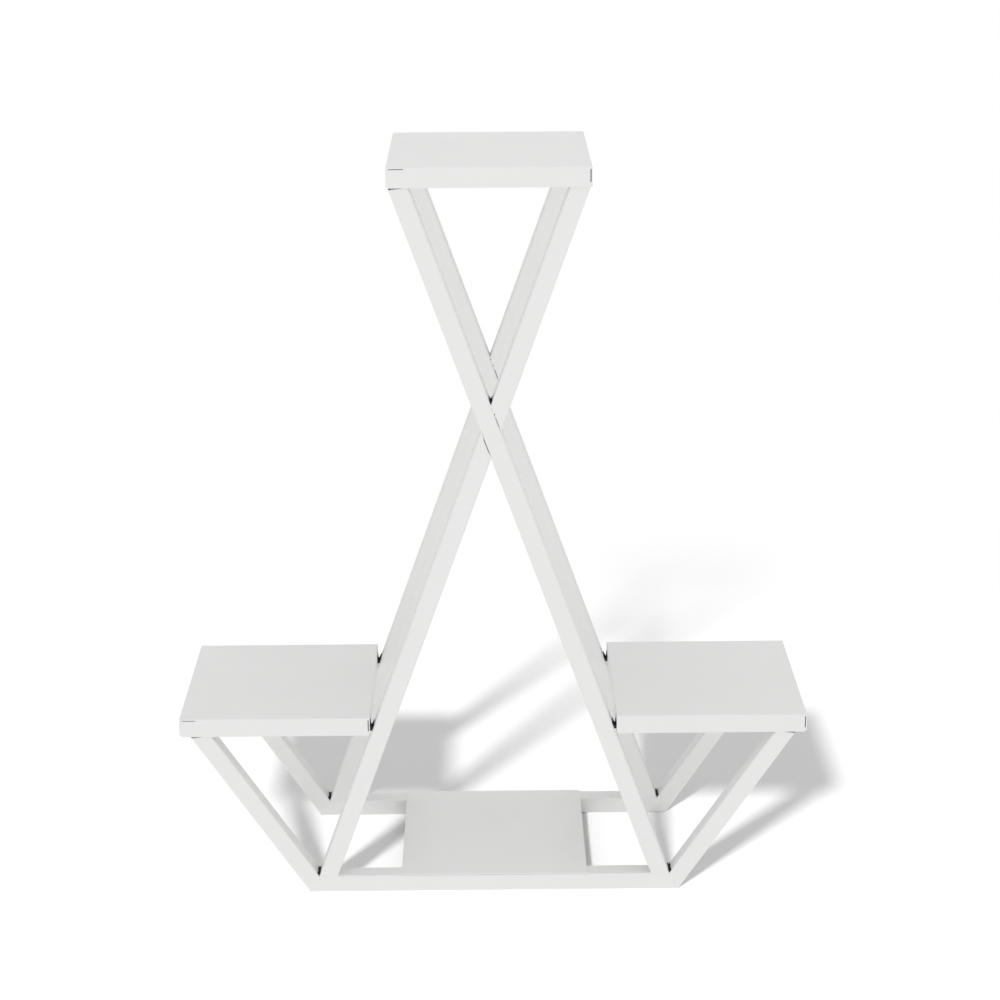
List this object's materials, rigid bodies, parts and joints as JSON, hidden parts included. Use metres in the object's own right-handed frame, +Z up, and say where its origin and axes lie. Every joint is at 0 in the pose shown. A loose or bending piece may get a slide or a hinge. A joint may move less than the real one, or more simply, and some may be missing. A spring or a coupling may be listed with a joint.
{
  "type": "plant ladder stand",
  "caption": "White plant stand of two crossed square-tube frames with square folded shelves: one on top, one at each side, one low between the legs.",
  "frame": {"origin": "on the floor, in the middle of the stand's length and depth", "axes": "+Z up, X across the stand from the left shelf to the right one, +Y from front to rear"},
  "size_m": [0.6924, 0.21, 0.825],
  "materials": {
    "coated_tube": "satin white powder coat on welded square steel tube",
    "coated_sheet": "satin white powder coat on folded sheet steel",
    "coated_weld": "white powder coat over a rippled weld bead"
  },
  "bodies": {
    "root": {"bottom_shelf": "coated_sheet", "front_bottom_rail": "coated_tube", "front_bottom_shelf_weld_1": "coated_weld", "front_bottom_shelf_weld_2": "coated_weld", "front_cut_leg_lower": "coated_tube", "front_cut_leg_upper": "coated_tube", "front_left_leg_weld": "coated_weld", "front_left_shelf_rail": "coated_tube", "front_left_shelf_weld_1": "coated_weld", "front_left_shelf_weld_2": "coated_weld", "front_left_strut": "coated_tube", "front_right_leg_weld": "coated_weld", "front_right_shelf_rail": "coated_tube", "front_right_shelf_weld_1": "coated_weld", "front_right_shelf_weld_2": "coated_weld", "front_right_strut": "coated_tube", "front_through_leg": "coated_tube", "front_top_shelf_rail": "coated_tube", "front_top_shelf_weld_1": "coated_weld", "front_top_shelf_weld_2": "coated_weld", "left_shelf": "coated_sheet", "rear_bottom_rail": "coated_tube", "rear_bottom_shelf_weld_1": "coated_weld", "rear_bottom_shelf_weld_2": "coated_weld", "rear_cut_leg_lower": "coated_tube", "rear_cut_leg_upper": "coated_tube", "rear_left_leg_weld": "coated_weld", "rear_left_shelf_rail": "coated_tube", "rear_left_shelf_weld_1": "coated_weld", "rear_left_shelf_weld_2": "coated_weld", "rear_left_strut": "coated_tube", "rear_right_leg_weld": "coated_weld", "rear_right_shelf_rail": "coated_tube", "rear_right_shelf_weld_1": "coated_weld", "rear_right_shelf_weld_2": "coated_weld", "rear_right_strut": "coated_tube", "rear_through_leg": "coated_tube", "rear_top_shelf_rail": "coated_tube", "rear_top_shelf_weld_1": "coated_weld", "rear_top_shelf_weld_2": "coated_weld", "right_shelf": "coated_sheet", "top_shelf": "coated_sheet"}
  },
  "joints": []
}
